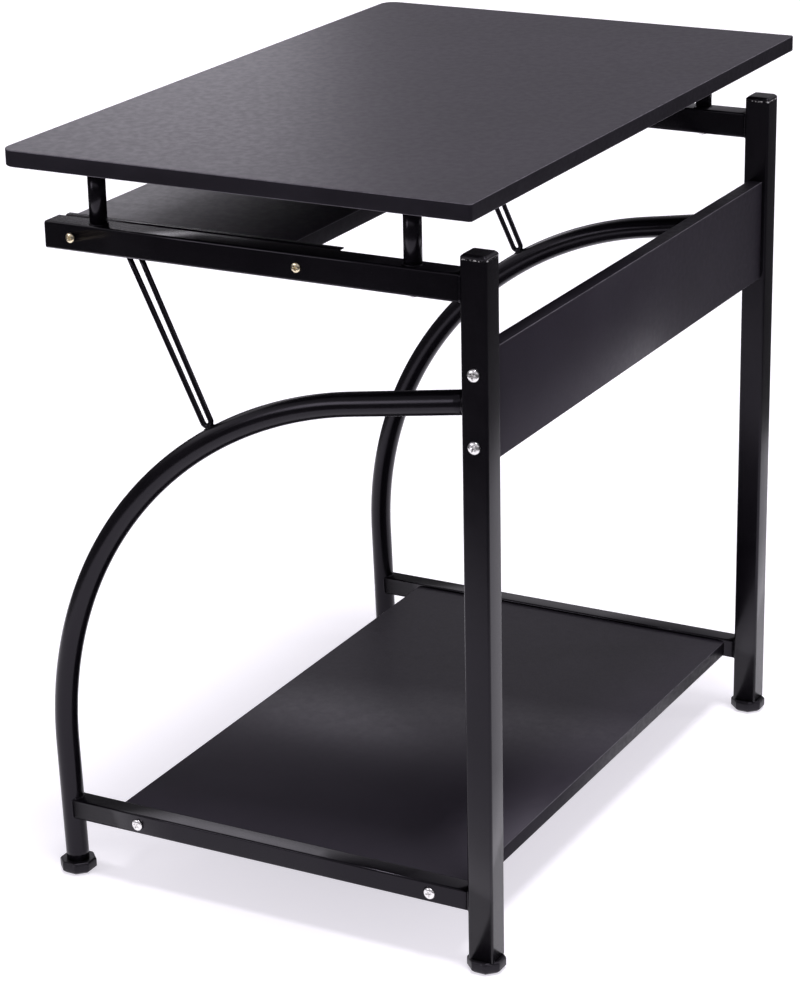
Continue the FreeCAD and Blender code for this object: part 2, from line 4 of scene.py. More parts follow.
import bpy
import numpy as np
from mathutils import Matrix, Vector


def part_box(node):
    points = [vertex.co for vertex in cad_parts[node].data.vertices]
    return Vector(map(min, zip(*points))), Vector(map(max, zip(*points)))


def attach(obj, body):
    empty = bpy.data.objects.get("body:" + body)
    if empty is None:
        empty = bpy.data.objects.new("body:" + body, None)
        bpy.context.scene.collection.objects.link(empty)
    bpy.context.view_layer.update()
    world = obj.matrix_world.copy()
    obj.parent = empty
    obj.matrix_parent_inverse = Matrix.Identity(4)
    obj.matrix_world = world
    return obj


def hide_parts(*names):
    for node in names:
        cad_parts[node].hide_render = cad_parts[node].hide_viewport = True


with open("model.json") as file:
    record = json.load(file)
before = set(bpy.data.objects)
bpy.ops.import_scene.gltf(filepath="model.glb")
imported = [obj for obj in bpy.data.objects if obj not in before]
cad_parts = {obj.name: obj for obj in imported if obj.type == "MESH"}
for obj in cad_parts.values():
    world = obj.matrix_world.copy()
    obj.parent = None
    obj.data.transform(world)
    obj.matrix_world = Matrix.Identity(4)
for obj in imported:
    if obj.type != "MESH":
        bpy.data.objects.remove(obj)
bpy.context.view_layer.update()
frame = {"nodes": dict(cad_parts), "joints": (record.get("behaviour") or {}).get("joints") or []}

MM = 0.001
SIDES = (("right", 1.0), ("left", -1.0))

# Sizes that the side frames share, in metres.
EDGING = 0.001
POST = 0.025
POST_ROUND = 0.0025
LOW_TUBE = 0.020
LOW_TUBE_ROUND = 0.002
LEG_R = 0.011
RISER_R = 0.008
ROD_R = 0.0025
ROD_GAP = 0.0088
ROD_SPREAD = math.radians(0.5)
SHEET = 0.0012
FOOT_HIGH = 0.012

# How the curved leg and the brace rod run: angles from upright and from level, the bend's radius as
# a share of the foot span or of the join's height, and where the rod sits and ends.
LEG_LEAN = math.radians(1.7)
LEG_RISE = math.radians(9.0)
LEG_JOIN_BELOW_RAIL = 0.090
LEG_BEND_OF_SPAN = 0.859
LEG_BEND_OF_HEIGHT = 0.7233
BRACE_SADDLE = math.radians(31.6)
BRACE_SINK = 0.001
BRACE_TOP_BACK = 0.0836

# Colours and roughness of the finishes.
VIOLET_CAST = (0.93, 0.88, 1.0, 1)
LAMINATE_DARK = (0.0128, 0.0104, 0.0158)
LAMINATE_LIGHT = (0.0168, 0.0138, 0.0205)
LAMINATE_FLECK = (0.0330, 0.0285, 0.0385)
LAMINATE_ROUGH = (0.40, 0.48)
TAPE_DARK = (0.0060, 0.0050, 0.0076)
TAPE_LIGHT = (0.0092, 0.0078, 0.0114)
# The pale tape colour below is scraped wear on the tape's rounded arrises and also a painted highlight along
# them.
TAPE_RUB_AND_HIGHLIGHT = (0.150, 0.140, 0.160)
COAT_DARK = (0.0022, 0.0018, 0.0027)
COAT_LIGHT = (0.0036, 0.0031, 0.0043)
COAT_DUST = (0.030, 0.028, 0.032)
COAT_CHIP = (0.62, 0.61, 0.60)
COAT_ROUGH = (0.19, 0.25)
PLASTIC_BLACK = (0.0032, 0.0028, 0.0037)
PLASTIC_SCUFF = (0.070, 0.066, 0.073)

# Rollers and the rivets that they turn on.
ROLLER_WIDE = 0.0076
ROLLER_BORE_R = 0.00255
RIVET_R = 0.0025


# ---------------------------------------------------------------- loops and profiles

def rounded_box_loop(half_u, half_v, radii, steps=8):
    """Rectangle with quarter-circle corners, anticlockwise.
    Each corner is its centre plus radius times (cos, sin) over its own quarter turn."""
    turn = np.linspace(0.0, np.pi / 2, steps + 1)
    rows = []
    signs = ((1, 1), (-1, 1), (-1, -1), (1, -1))
    for k, (su, sv) in enumerate(signs):
        r = radii[k]
        a = turn + k * np.pi / 2
        centre = np.array([su * (half_u - r), sv * (half_v - r)])
        rows.append(centre + r * np.stack([np.cos(a), np.sin(a)], 1))
    return np.vstack(rows)


def square_loop(size, radius, steps=8):
    """Section of a square tube."""
    return rounded_box_loop(size / 2, size / 2, (radius,) * 4, steps)


def round_loop(radius, count=48):
    """Circle of evenly spaced points, anticlockwise."""
    a = np.linspace(0.0, 2 * np.pi, count, endpoint=False)
    return radius * np.stack([np.cos(a), np.sin(a)], 1)


def octagon_loop(flats, radius, steps=4):
    """Octagon across its flats with rounded corners: eight short arcs of an eighth turn."""
    reach = (flats / 2 - radius) / np.cos(np.pi / 8)
    rows = []
    for k in range(8):
        mid = np.pi / 8 + k * np.pi / 4
        a = mid + np.linspace(-np.pi / 8, np.pi / 8, steps + 1)
        centre = reach * np.array([np.cos(mid), np.sin(mid)])
        rows.append(centre + radius * np.stack([np.cos(a), np.sin(a)], 1))
    return np.vstack(rows)


def bent_sheet_loop(corners, thickness, bend):
    """Outline of folded sheet metal. The middle line runs through the corners with a fillet of the
    bend radius at each, and the outline is that line moved half a thickness to each side."""
    pts = [np.asarray(c, float) for c in corners]
    line = [pts[0][None]]
    normals = []

    def left_of(d):
        return np.array([-d[1], d[0]])

    first = (pts[1] - pts[0]) / np.linalg.norm(pts[1] - pts[0])
    normals.append(left_of(first)[None])
    for a, b, c in zip(pts[:-2], pts[1:-1], pts[2:]):
        d0 = (b - a) / np.linalg.norm(b - a)
        d1 = (c - b) / np.linalg.norm(c - b)
        turn = math.atan2(d0[0] * d1[1] - d0[1] * d1[0], float(d0 @ d1))
        back = bend * math.tan(abs(turn) / 2)
        side = left_of(d0) * math.copysign(1.0, turn)
        centre = b - d0 * back + side * bend
        s = np.linspace(0.0, turn, 7)
        radial = -side
        arc = np.stack([radial[0] * np.cos(s) - radial[1] * np.sin(s),
                        radial[0] * np.sin(s) + radial[1] * np.cos(s)], 1)
        line.append(centre + bend * arc)
        normals.append(-arc * math.copysign(1.0, turn))
    last = (pts[-1] - pts[-2]) / np.linalg.norm(pts[-1] - pts[-2])
    line.append(pts[-1][None])
    normals.append(left_of(last)[None])
    mid = np.vstack(line)
    nrm = np.vstack(normals)
    one = mid - nrm * thickness / 2
    two = mid + nrm * thickness / 2
    return np.vstack([one, two[::-1]])


# ---------------------------------------------------------------- surfaces

def level(loop, z):
    """A flat loop laid at one height."""
    return np.column_stack([loop, np.full(len(loop), z)])


def meet(loop, heading, axis, at):
    """Slides each point of an end loop along its tube until one coordinate has the wanted value,
    so that the end lies flat on the face it meets."""
    heading = np.asarray(heading, float)
    loop += ((at - loop[:, axis]) / heading[axis])[:, None] * heading


def carry(path, along, side, loop):
    """A loop carried along a path: path point + u * side + v * (along x side)."""
    path = np.asarray(path, float)
    along = np.broadcast_to(np.asarray(along, float), path.shape)
    side = np.broadcast_to(np.asarray(side, float), path.shape)
    other = np.cross(along, side)
    loop = np.asarray(loop, float)
    if loop.ndim == 2:
        loop = np.broadcast_to(loop, (len(path),) + loop.shape)
    return path[:, None] + loop[..., 0:1] * side[:, None] + loop[..., 1:2] * other[:, None]


def skin(grid, ring=False, start=True, end=True, edge_wear_and_highlight=None):
    """Quads over a grid of closed loops. ring joins the last loop to the first, and start and end
    close the two open ends with one flat face each."""
    rows, cols = grid.shape[:2]
    index = np.arange(rows * cols).reshape(rows, cols)
    nxt = np.roll(index, -1, 1)
    if ring:
        up, up_nxt = np.roll(index, -1, 0), np.roll(nxt, -1, 0)
        quads = np.stack([index, nxt, up_nxt, up], -1).reshape(-1, 4)
        start = end = False
    else:
        quads = np.stack([index[:-1], nxt[:-1], nxt[1:], index[1:]], -1).reshape(-1, 4)
    caps = []
    if start:
        caps.append(index[0][::-1])
    if end:
        caps.append(index[-1])
    wear_and_highlight = np.zeros((rows, cols)) if edge_wear_and_highlight is None else np.broadcast_to(edge_wear_and_highlight, (rows, cols))
    return {"points": grid.reshape(-1, 3), "quads": quads, "caps": caps, "edge_wear_and_highlight": wear_and_highlight.reshape(-1)}


def mirrored(part):
    """The same surface on the other side of the desk, with its faces turned to stay outward."""
    return {"points": part["points"] * np.array([-1.0, 1.0, 1.0]), "quads": part["quads"][:, ::-1],
            "caps": [c[::-1] for c in part["caps"]], "edge_wear_and_highlight": part["edge_wear_and_highlight"]}


def moved(part, offset):
    """The same surface shifted by an offset."""
    out = dict(part)
    out["points"] = part["points"] + np.asarray(offset, float)
    return out


def piece(name, parts, material, body, nodes=()):
    """One object from several surfaces, riding on its body and standing for its CAD nodes."""
    points, faces, smooth, edge_wear_and_highlight = [], [], [], []
    base = 0
    for part in parts:
        points.append(part["points"])
        edge_wear_and_highlight.append(part["edge_wear_and_highlight"])
        faces += (part["quads"] + base).tolist()
        smooth += [True] * len(part["quads"])
        for cap in part["caps"]:
            faces.append((cap + base).tolist())
            smooth.append(False)
        base += len(part["points"])
    points = np.vstack(points)
    mesh = bpy.data.meshes.new(name)
    mesh.from_pydata(points.tolist(), [], faces)
    mesh.polygons.foreach_set("use_smooth", smooth)
    wear_and_highlight = mesh.attributes.new("edge_wear_and_highlight", "FLOAT", "POINT")
    wear_and_highlight.data.foreach_set("value", np.concatenate(edge_wear_and_highlight).astype(np.float32))
    mesh.update()
    mesh.materials.append(material)
    obj = bpy.data.objects.new(name, mesh)
    bpy.context.scene.collection.objects.link(obj)
    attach(obj, body)
    if nodes:
        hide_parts(*nodes)
    return obj


def bead(path, closed, radius, waves, squash=1.0):
    """A weld bead: a small round section carried along its seam. Its radius swells and shrinks
    as 1 + 0.16 * sin(waves * place along the seam), like the ripples of a hand-laid weld."""
    path = np.asarray(path, float)
    if closed:
        along = np.roll(path, -1, 0) - np.roll(path, 1, 0)
    else:
        along = np.gradient(path, axis=0)
    along /= np.linalg.norm(along, axis=1)[:, None]
    centre = path.mean(0)
    out = path - centre
    out -= along * (out * along).sum(1)[:, None]
    out /= np.maximum(np.linalg.norm(out, axis=1)[:, None], 1e-9)
    s = np.linspace(0, 2 * np.pi * waves, len(path), endpoint=not closed)
    swell = 1 + 0.16 * np.sin(s)
    if not closed:
        swell = swell * np.sqrt(np.clip(np.sin(np.linspace(0.03, np.pi - 0.03, len(path))), 0.0, 1.0))
    loop = round_loop(radius, 10)[None] * swell[:, None, None] * np.array([1.0, squash])
    return skin(carry(path, along, out, loop), ring=closed)


def resample(path, count, closed=False):
    """The same line with evenly spaced points."""
    pts = np.vstack([path, path[:1]]) if closed else np.asarray(path, float)
    step = np.linalg.norm(np.diff(pts, axis=0), axis=1)
    s = np.concatenate([[0.0], np.cumsum(step)])
    want = np.linspace(0, s[-1], count, endpoint=not closed)
    return np.stack([np.interp(want, s, pts[:, k]) for k in range(3)], 1)


# ---------------------------------------------------------------- materials

def new_material(name):
    """Material with an empty node tree, its shader and output, and a coordinate node."""
    m = bpy.data.materials.new(name)
    m.use_nodes = True
    nt = m.node_tree
    nt.nodes.clear()
    out = nt.nodes.new("ShaderNodeOutputMaterial")
    bsdf = nt.nodes.new("ShaderNodeBsdfPrincipled")
    nt.links.new(bsdf.outputs["BSDF"], out.inputs["Surface"])
    coord = nt.nodes.new("ShaderNodeTexCoord")
    return m, nt, bsdf, coord.outputs["Object"]


def noise(nt, vec, scale, detail=3.0, rough=0.5):
    """Noise over the object's own coordinates."""
    n = nt.nodes.new("ShaderNodeTexNoise")
    n.inputs["Scale"].default_value = scale
    n.inputs["Detail"].default_value = detail
    n.inputs["Roughness"].default_value = rough
    nt.links.new(vec, n.inputs["Vector"])
    return n.outputs["Fac"]


def stretched(nt, vec, scale):
    """Coordinates scaled by a different amount along each axis."""
    n = nt.nodes.new("ShaderNodeMapping")
    n.inputs["Scale"].default_value = scale
    nt.links.new(vec, n.inputs["Vector"])
    return n.outputs["Vector"]


def ramp(nt, fac, stops):
    """Colour ramp between (place, grey or colour) stops."""
    n = nt.nodes.new("ShaderNodeValToRGB")
    n.color_ramp.interpolation = "EASE"
    for i, (at, value) in enumerate(stops):
        e = n.color_ramp.elements[i] if i < 2 else n.color_ramp.elements.new(at)
        e.position = at
        e.color = (value, value, value, 1) if isinstance(value, float) else (*value, 1)
    nt.links.new(fac, n.inputs["Fac"])
    return n.outputs["Color"]


def blended(nt, fac, a, b):
    """Mix of two colours, each a socket or a plain colour."""
    n = nt.nodes.new("ShaderNodeMix")
    n.data_type = "RGBA"
    for value, key in ((fac, 0), (a, 6), (b, 7)):
        sock = n.inputs[key]
        if hasattr(value, "is_linked"):
            nt.links.new(value, sock)
        else:
            sock.default_value = value if isinstance(value, float) else (*value, 1)
    return n.outputs[2]


def calc(nt, kind, a, b, limit=False):
    """One arithmetic step on sockets or numbers."""
    n = nt.nodes.new("ShaderNodeMath")
    n.operation = kind
    n.use_clamp = limit
    for value, sock in ((a, n.inputs[0]), (b, n.inputs[1])):
        if hasattr(value, "is_linked"):
            nt.links.new(value, sock)
        else:
            sock.default_value = value
    return n.outputs[0]


def bumped(nt, bsdf, heights):
    """Bumps laid one over another; each is (height socket, strength, depth in metres)."""
    last = None
    for height, strength, depth in heights:
        n = nt.nodes.new("ShaderNodeBump")
        n.inputs["Strength"].default_value = strength
        n.inputs["Distance"].default_value = depth
        nt.links.new(height, n.inputs["Height"])
        if last is not None:
            nt.links.new(last, n.inputs["Normal"])
        last = n.outputs["Normal"]
    nt.links.new(last, bsdf.inputs["Normal"])


def wear_and_highlight(nt):
    """How much an edge is rubbed, from 0 to 1, as the surface was given it. On the edge tape the same mask
    also places a painted highlight along the arrises.
    """
    n = nt.nodes.new("ShaderNodeAttribute")
    n.attribute_name = "edge_wear_and_highlight"
    return n.outputs["Fac"]


def charcoal_laminate():
    """Melamine foil on board: charcoal with a violet cast, faint cloudy print, fine pebble emboss."""
    m, nt, bsdf, vec = new_material("charcoal_laminate")
    cloud = noise(nt, vec, 9.0, 5.0, 0.6)
    fleck = noise(nt, vec, 1400.0, 2.0, 0.6)
    tone = blended(nt, ramp(nt, cloud, ((0.3, 0.0), (0.7, 1.0))), LAMINATE_DARK, LAMINATE_LIGHT)
    tone = blended(nt, ramp(nt, fleck, ((0.42, 0.0), (0.75, 0.45))), tone, LAMINATE_FLECK)
    nt.links.new(tone, bsdf.inputs["Base Color"])
    haze = noise(nt, vec, 140.0, 5.0, 0.6)
    nt.links.new(ramp(nt, haze, ((0.25, LAMINATE_ROUGH[0]), (0.75, LAMINATE_ROUGH[1]))),
                 bsdf.inputs["Roughness"])
    bsdf.inputs["IOR"].default_value = 1.46
    bsdf.inputs["Specular Tint"].default_value = VIOLET_CAST
    pebble = noise(nt, vec, 1500.0, 2.0, 0.5)
    bumped(nt, bsdf, ((pebble, 0.14, 0.00004),))
    return m


def edge_tape():
    """Plastic edge tape: the laminate's colour a shade darker, scraped paler on its corners; that pale rub is
    also a painted highlight along the arrises.
    """
    m, nt, bsdf, vec = new_material("edge_tape")
    cloud = noise(nt, vec, 22.0, 3.0, 0.5)
    scrape = noise(nt, vec, 160.0, 4.0, 0.7)
    tone = blended(nt, ramp(nt, cloud, ((0.3, 0.0), (0.7, 1.0))), TAPE_DARK, TAPE_LIGHT)
    rub = calc(nt, "MULTIPLY", wear_and_highlight(nt), ramp(nt, scrape, ((0.25, 0.45), (0.7, 1.0))), True)
    # Painted highlight: the pale rub on the arrises also stands in for the light line that their rounding
    # catches, as well as scraped wear.
    tone = blended(nt, rub, tone, TAPE_RUB_AND_HIGHLIGHT)
    nt.links.new(tone, bsdf.inputs["Base Color"])
    nt.links.new(ramp(nt, scrape, ((0.2, 0.42), (0.8, 0.58))), bsdf.inputs["Roughness"])
    bsdf.inputs["IOR"].default_value = 1.32
    bsdf.inputs["Specular Tint"].default_value = VIOLET_CAST
    grain = noise(nt, vec, 1100.0, 2.0, 0.5)
    bumped(nt, bsdf, ((grain, 0.2, 0.00005),))
    return m


def powder_coat():
    """Black powder coat: a tight orange peel in a semi-gloss film, with slight haze and dust."""
    m, nt, bsdf, vec = new_material("powder_coat")
    cloud = noise(nt, vec, 14.0, 4.0, 0.6)
    dust = noise(nt, vec, 420.0, 3.0, 0.65)
    tone = blended(nt, ramp(nt, cloud, ((0.3, 0.0), (0.7, 1.0))), COAT_DARK, COAT_LIGHT)
    tone = blended(nt, ramp(nt, dust, ((0.66, 0.0), (0.82, 0.4))), tone, COAT_DUST)
    chip = noise(nt, vec, 300.0, 4.0, 0.7)
    rub = calc(nt, "MULTIPLY", wear_and_highlight(nt), ramp(nt, chip, ((0.52, 0.0), (0.62, 1.0))), True)
    tone = blended(nt, rub, tone, COAT_CHIP)
    nt.links.new(tone, bsdf.inputs["Base Color"])
    nt.links.new(ramp(nt, cloud, ((0.25, COAT_ROUGH[0]), (0.75, COAT_ROUGH[1]))),
                 bsdf.inputs["Roughness"])
    bsdf.inputs["IOR"].default_value = 1.34
    bsdf.inputs["Specular Tint"].default_value = VIOLET_CAST
    peel = noise(nt, vec, 520.0, 2.0, 0.45)
    bumped(nt, bsdf, ((peel, 0.12, 0.00008), (cloud, 0.03, 0.0005)))
    return m


def moulded_plastic():
    """Black polypropylene of feet, caps and plugs: fine spark-eroded grain, scuffed grey on edges."""
    m, nt, bsdf, vec = new_material("moulded_plastic")
    grain = noise(nt, vec, 1500.0, 2.0, 0.5)
    scuff = noise(nt, stretched(nt, vec, (1.0, 1.0, 3.0)), 240.0, 5.0, 0.75)
    rub = calc(nt, "MULTIPLY", wear_and_highlight(nt), ramp(nt, scuff, ((0.54, 0.0), (0.70, 0.7))), True)
    tone = blended(nt, rub, PLASTIC_BLACK, PLASTIC_SCUFF)
    nt.links.new(tone, bsdf.inputs["Base Color"])
    nt.links.new(ramp(nt, scuff, ((0.3, 0.34), (0.7, 0.46))), bsdf.inputs["Roughness"])
    bsdf.inputs["IOR"].default_value = 1.36
    bsdf.inputs["Specular Tint"].default_value = VIOLET_CAST
    bumped(nt, bsdf, ((grain, 0.25, 0.00005), (scuff, 0.06, 0.0002)))
    return m


def plated(name, pale, deep, rough):
    """Zinc plate: metal whose colour drifts between two tones, with fine turning marks."""
    m, nt, bsdf, vec = new_material(name)
    drift = noise(nt, vec, 320.0, 3.0, 0.6)
    mark = noise(nt, vec, 2600.0, 2.0, 0.6)
    tone = blended(nt, ramp(nt, drift, ((0.35, 0.0), (0.65, 1.0))), deep, pale)
    nt.links.new(tone, bsdf.inputs["Base Color"])
    bsdf.inputs["Metallic"].default_value = 1.0
    nt.links.new(ramp(nt, drift, ((0.3, rough), (0.7, rough + 0.12))), bsdf.inputs["Roughness"])
    bumped(nt, bsdf, ((mark, 0.15, 0.00004),))
    return m


def roller_nylon():
    """Off-white nylon with a faint cloudy tone and a waxy shine."""
    m, nt, bsdf, vec = new_material("roller_nylon")
    cloud = noise(nt, vec, 180.0, 3.0, 0.5)
    tone = blended(nt, cloud, (0.50, 0.49, 0.45), (0.66, 0.65, 0.61))
    nt.links.new(tone, bsdf.inputs["Base Color"])
    nt.links.new(ramp(nt, cloud, ((0.3, 0.34), (0.7, 0.48))), bsdf.inputs["Roughness"])
    bsdf.inputs["Subsurface Weight"].default_value = 0.15
    bsdf.inputs["Subsurface Scale"].default_value = 0.002
    bumped(nt, bsdf, ((noise(nt, vec, 900.0), 0.1, 0.00004),))
    return m


laminate = charcoal_laminate()
tape = edge_tape()
coat = powder_coat()
plastic = moulded_plastic()
zinc = plated("bright_zinc", (0.95, 0.94, 0.93), (0.80, 0.79, 0.78), 0.20)
fitting = plated("dull_zinc", (0.60, 0.59, 0.56), (0.42, 0.41, 0.40), 0.34)
brassy = plated("yellow_zinc", (0.93, 0.84, 0.62), (0.80, 0.68, 0.46), 0.20)
nylon = roller_nylon()

# ---------------------------------------------------------------- places read from the frame

post_low, post_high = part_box("post_right")
rail_low, rail_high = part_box("top_rail_right")
low_low, low_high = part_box("bottom_rail_right")
top_low, top_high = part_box("desktop_edging")
x_side = (post_low.x + post_high.x) / 2
y_post = (post_low.y + post_high.y) / 2
y_post_front = post_low.y
y_foot = -y_post
z_rail_under, z_rail_top = rail_low.z, rail_high.z
y_rail_front = rail_low.y


# ---------------------------------------------------------------- curved legs

def leg_line():
    """Middle line of the curved leg in the side frame's plane: a straight run up from the foot with
    a slight backward lean, one arc, and a straight run that still climbs to the post. Both
    runs' lengths are solved from where the leg starts and ends."""
    z0, z_join = FOOT_HIGH, z_rail_under - LEG_JOIN_BELOW_RAIL
    bend = min(LEG_BEND_OF_SPAN * 2 * y_post, LEG_BEND_OF_HEIGHT * (z_join - z0))
    t1, t2 = math.pi / 2 + LEG_LEAN, LEG_RISE
    n1 = np.array([math.sin(t1), -math.cos(t1)])
    n2 = np.array([math.sin(t2), -math.cos(t2)])
    d1 = np.array([math.cos(t1), math.sin(t1)])
    d2 = np.array([math.cos(t2), math.sin(t2)])
    start = np.array([y_foot, z0])
    stop = np.array([y_post_front, z_join])
    runs = np.linalg.solve(np.stack([d1, d2], 1), stop - start - bend * (n1 - n2))
    turn_from = start + runs[0] * d1
    centre = turn_from + bend * n1
    a = np.linspace(t1, t2, 110)
    arc = centre - bend * np.stack([np.sin(a), -np.cos(a)], 1)
    low = start + np.linspace(0, 1, 14)[:-1, None] * runs[0] * d1
    high = arc[-1] + np.linspace(0, 1, 14)[1:, None] * runs[1] * d2
    line = np.vstack([low, arc, high])
    heading = np.vstack([np.tile(d1, (13, 1)), np.stack([np.cos(a), np.sin(a)], 1), np.tile(d2, (13, 1))])
    return line, heading, centre, bend


leg_yz, leg_dir, bend_centre, bend_r = leg_line()


def in_side(yz):
    """Points of the right side frame's middle plane."""
    yz = np.atleast_2d(yz)
    return np.column_stack([np.full(len(yz), x_side), yz])


leg_grid = carry(in_side(leg_yz), np.column_stack([np.zeros(len(leg_dir)), leg_dir]), (1.0, 0.0, 0.0),
                 round_loop(LEG_R, 56))
meet(leg_grid[-1], (0.0, *leg_dir[-1]), 1, y_post_front)
meet(leg_grid[0], (0.0, *leg_dir[0]), 2, FOOT_HIGH)
leg_skin = skin(leg_grid)

# ---------------------------------------------------------------- posts and rails

post_rows = (FOOT_HIGH, 0.2, 0.4, post_high.z - 0.0016, post_high.z - 0.0007, post_high.z)
post_skin = skin(carry([(x_side, y_post, z) for z in post_rows], (0, 0, 1), (1, 0, 0),
                       square_loop(POST, POST_ROUND)), edge_wear_and_highlight=np.array([0, 0, 0, 0, 1, 1.0])[:, None])
z_rail = (z_rail_under + z_rail_top) / 2
rail_skin = skin(carry([(x_side, y, z_rail) for y in (y_rail_front, -0.05, 0.1, y_post_front)],
                       (0, 1, 0), (1, 0, 0), square_loop(POST, POST_ROUND)))
z_low = (low_low.z + low_high.z) / 2


def leg_back_at(x, z):
    """Y of the rear of the curved leg's straight run, at a height and across the tube."""
    y_axis = y_foot + (z - FOOT_HIGH) * leg_dir[0, 0] / leg_dir[0, 1]
    return y_axis + np.sqrt(np.clip(LEG_R ** 2 - (x - x_side) ** 2, 0, None)) / leg_dir[0, 1]


low_grid = carry([(x_side, y, z_low) for y in (-0.2, -0.1, 0.05, y_post_front)],
                 (0, 1, 0), (1, 0, 0), square_loop(LOW_TUBE, LOW_TUBE_ROUND))
low_grid[0, :, 1] = leg_back_at(low_grid[0, :, 0], low_grid[0, :, 2]) - 0.0002
low_skin = skin(low_grid)

riser_low, riser_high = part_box("risers_right")
riser_ys = (riser_low.y + RISER_R, riser_high.y - RISER_R)
riser_skins = [skin(carry([(x_side, y, z) for z in (riser_low.z, riser_high.z)],
                          (0, 0, 1), (1, 0, 0), round_loop(RISER_R, 40))) for y in riser_ys]

# ---------------------------------------------------------------- brace rods


def brace_line():
    """A rod bent to a narrow U: down one leg, a little under half a circle, up the other. The bend
    sits on the curved leg, the legs lean apart slightly, and their ends meet the top rail."""
    reach = bend_r + LEG_R + ROD_R - BRACE_SINK
    saddle = bend_centre + reach * np.array([-math.sin(BRACE_SADDLE), math.cos(BRACE_SADDLE)])
    top = np.array([y_rail_front + BRACE_TOP_BACK, z_rail_under])
    up = (top - saddle) / np.linalg.norm(top - saddle)
    across = np.array([up[1], -up[0]])
    half = ROD_GAP / 2
    centre = saddle + up * half
    a = np.linspace(np.pi + ROD_SPREAD, 2 * np.pi - ROD_SPREAD, 40)
    bow = centre + half * (np.cos(a)[:, None] * across + np.sin(a)[:, None] * up)
    legs = []
    for sign, root in ((-1, bow[0]), (1, bow[-1])):
        lean = math.cos(ROD_SPREAD) * up + sign * math.sin(ROD_SPREAD) * across
        length = (z_rail_under - root[1]) / lean[1]
        legs.append(root + np.linspace(0, length, 12)[1:, None] * lean)
    line = np.vstack([legs[0][::-1], bow, legs[1]])
    return line, saddle, up, across


brace_yz, brace_saddle, brace_up, brace_across = brace_line()
brace_path = in_side(brace_yz)
brace_along = np.gradient(brace_path, axis=0)
brace_along /= np.linalg.norm(brace_along, axis=1)[:, None]
brace_grid = carry(brace_path, brace_along, (1.0, 0.0, 0.0), round_loop(ROD_R, 20))
for end in (0, -1):
    meet(brace_grid[end], (0.0, *brace_up), 2, z_rail_under)
brace_skin = skin(brace_grid)

# ---------------------------------------------------------------- weld beads


def square_seam(cx, cz, size, radius, y, count=96):
    """Seam round a square tube where it meets a face across Y."""
    loop = rounded_box_loop(size / 2, size / 2, (radius,) * 4, 6)
    pts = np.column_stack([cx + loop[:, 0], np.full(len(loop), y), cz + loop[:, 1]])
    return resample(pts, count, True)


seam_low_leg = square_seam(x_side, z_low, LOW_TUBE - 0.0006, LOW_TUBE_ROUND, 0.0)
seam_low_leg[:, 1] = leg_back_at(seam_low_leg[:, 0], seam_low_leg[:, 2])
ring = carry(in_side(leg_yz[-1:]), (0, leg_dir[-1, 0], leg_dir[-1, 1]), (1, 0, 0), round_loop(LEG_R, 72))[0]
meet(ring, (0.0, *leg_dir[-1]), 1, y_post_front)
seams = [
    bead(square_seam(x_side, z_rail, POST - 0.0008, POST_ROUND, y_post_front), True, 0.0011, 34),
    bead(square_seam(x_side, z_low, LOW_TUBE, LOW_TUBE_ROUND, y_post_front), True, 0.0011, 28),
    bead(seam_low_leg, True, 0.0008, 28),
    bead(ring, True, 0.0012, 30),
]
for y in riser_ys:
    foot = round_loop(RISER_R, 64) + np.array([x_side, y])
    seams.append(bead(level(foot, z_rail_top), True, 0.0009, 22))
# the rod meets the rail at a slant, so its seam is longer along the rail
for end in (0, -1):
    tip = round_loop(ROD_R, 32) * np.array([1.0, 1.12]) + np.array([x_side, brace_path[end, 1]])
    seams.append(bead(level(tip, z_rail_under), True, 0.0008, 9))
# a short bead on each side of the rod, where its bend sits on the curved leg
for side in (-1.0, 1.0):
    s = np.linspace(-1.0, 1.0, 26)
    spot = brace_saddle - brace_up * 0.0012 + s[:, None] * 0.0052 * brace_across
    away = spot - bend_centre
    spot = bend_centre + away / np.linalg.norm(away, axis=1)[:, None] * (bend_r + LEG_R - 0.0001)
    run = in_side(spot)
    run[:, 0] += side * 0.0021
    seams.append(bead(run, False, 0.0014, 4))

frame_parts = {
    "post_": [post_skin],
    "top_rail_": [rail_skin],
    "curved_leg_": [leg_skin],
    "bottom_rail_": [low_skin],
    "risers_": riser_skins,
    "brace_": [brace_skin],
}
for side, sign in SIDES:
    for stem, parts in frame_parts.items():
        parts = parts if sign > 0 else [mirrored(p) for p in parts]
        piece(stem + "tube_" + side, parts, coat, "frame", (stem + side,))
    beads = seams if sign > 0 else [mirrored(p) for p in seams]
    piece("weld_beads_" + side, beads, coat, "frame")

# ---------------------------------------------------------------- boards


def board_loop(lo, hi, inset, fronts, rears, steps=10):
    """Outline of a flat board drawn in by an inset; the radii of its corners shrink with it."""
    half_x, half_y = (hi.x - lo.x) / 2, (hi.y - lo.y) / 2
    radii = [max(r - inset, 0.0002) for r in (rears, rears, fronts, fronts)]
    loop = rounded_box_loop(half_x - inset, half_y - inset, radii, steps)
    return loop + np.array([(lo.x + hi.x) / 2, (lo.y + hi.y) / 2])


def flat_board(lo, hi, fronts, rears):
    """Core of a board: its flat faces inside the edging."""
    loop = board_loop(lo, hi, EDGING, fronts, rears)
    return skin(np.stack([level(loop, z) for z in (lo.z, hi.z)]))


